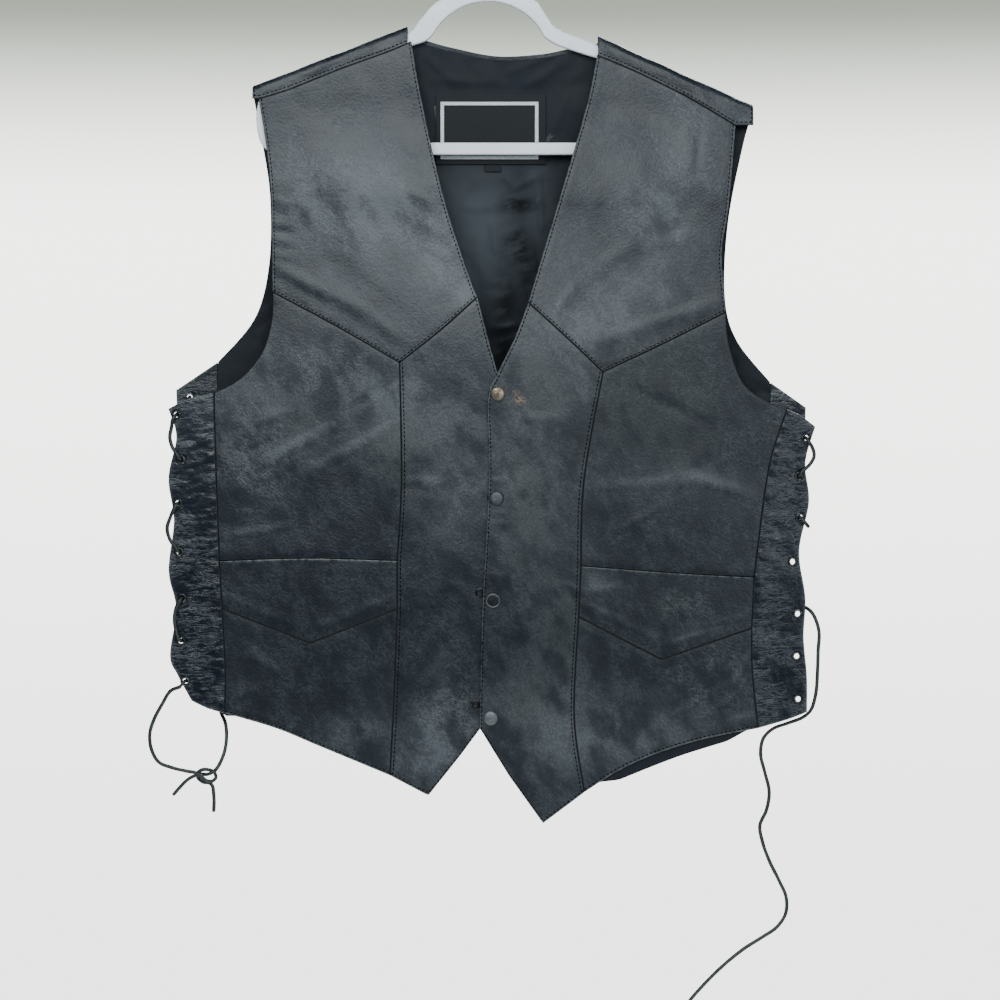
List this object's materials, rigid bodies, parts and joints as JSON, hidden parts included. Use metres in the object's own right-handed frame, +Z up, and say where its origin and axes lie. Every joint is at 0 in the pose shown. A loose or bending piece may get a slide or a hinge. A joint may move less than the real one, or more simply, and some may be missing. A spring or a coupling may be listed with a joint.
{
  "type": "leather vest on a hanger",
  "caption": "Black leather vest with laced sides, snap front and V-shaped yokes, held on a white plastic hanger.",
  "frame": {"origin": "the inside top of the hanger's hook, where a rail or wall hook carries it", "axes": "+Z up along the hook's stem, +X to the viewer's right as the front is seen, -Y out of the front"},
  "size_m": [0.5809, 0.0603, 0.9937],
  "materials": {
    "black_leather": "soft semi-matt nappa, worn pale at the edges",
    "lining_cloth": "smooth woven satin",
    "label_cloth": "woven, with a plain pale border line",
    "dark_metal": "black lacquer, worn",
    "worn_metal": "gunmetal, worn",
    "lace_leather": "round leather cord, matt",
    "white_plastic": "moulded, satin"
  },
  "bodies": {
    "root": {"left_yoke": "black_leather", "left_centre_panel": "black_leather", "left_side_panel_upper": "black_leather", "left_pocket": "black_leather", "left_side_panel_lower": "black_leather", "left_lace_strip_front": "black_leather", "left_lace_strip_back": "black_leather", "left_eyelet_front_1": "dark_metal", "left_eyelet_front_2": "dark_metal", "left_eyelet_front_3": "dark_metal", "left_eyelet_front_4": "dark_metal", "left_eyelet_front_5": "dark_metal", "left_eyelet_front_6": "dark_metal", "left_eyelet_front_7": "dark_metal", "left_eyelet_back_1": "dark_metal", "left_eyelet_back_2": "dark_metal", "left_eyelet_back_3": "dark_metal", "left_eyelet_back_4": "dark_metal", "left_eyelet_back_5": "dark_metal", "left_eyelet_back_6": "dark_metal", "left_eyelet_back_7": "dark_metal", "right_yoke": "black_leather", "right_centre_panel": "black_leather", "right_side_panel_upper": "black_leather", "right_pocket": "black_leather", "right_side_panel_lower": "black_leather", "right_lace_strip_front": "black_leather", "right_lace_strip_back": "black_leather", "right_eyelet_front_1": "dark_metal", "right_eyelet_front_2": "dark_metal", "right_eyelet_front_3": "dark_metal", "right_eyelet_front_4": "dark_metal", "right_eyelet_front_5": "dark_metal", "right_eyelet_front_6": "dark_metal", "right_eyelet_front_7": "dark_metal", "right_eyelet_back_1": "dark_metal", "right_eyelet_back_2": "dark_metal", "right_eyelet_back_3": "dark_metal", "right_eyelet_back_4": "dark_metal", "right_eyelet_back_5": "dark_metal", "right_eyelet_back_6": "dark_metal", "right_eyelet_back_7": "dark_metal", "back_panel": "black_leather", "back_lining": "lining_cloth", "neck_label": "label_cloth", "size_tab": "label_cloth", "right_hem_facing": "lining_cloth", "snap_cap_1": "worn_metal", "snap_stud_1": "worn_metal", "snap_cap_2": "worn_metal", "snap_stud_2": "worn_metal", "snap_cap_3": "worn_metal", "snap_stud_3": "worn_metal", "snap_cap_4": "worn_metal", "snap_stud_4": "worn_metal", "hanger": "white_plastic", "left_lacing": "lace_leather", "right_lacing": "lace_leather", "left_tie": "lace_leather", "right_lace_tail": "lace_leather"}
  },
  "joints": []
}
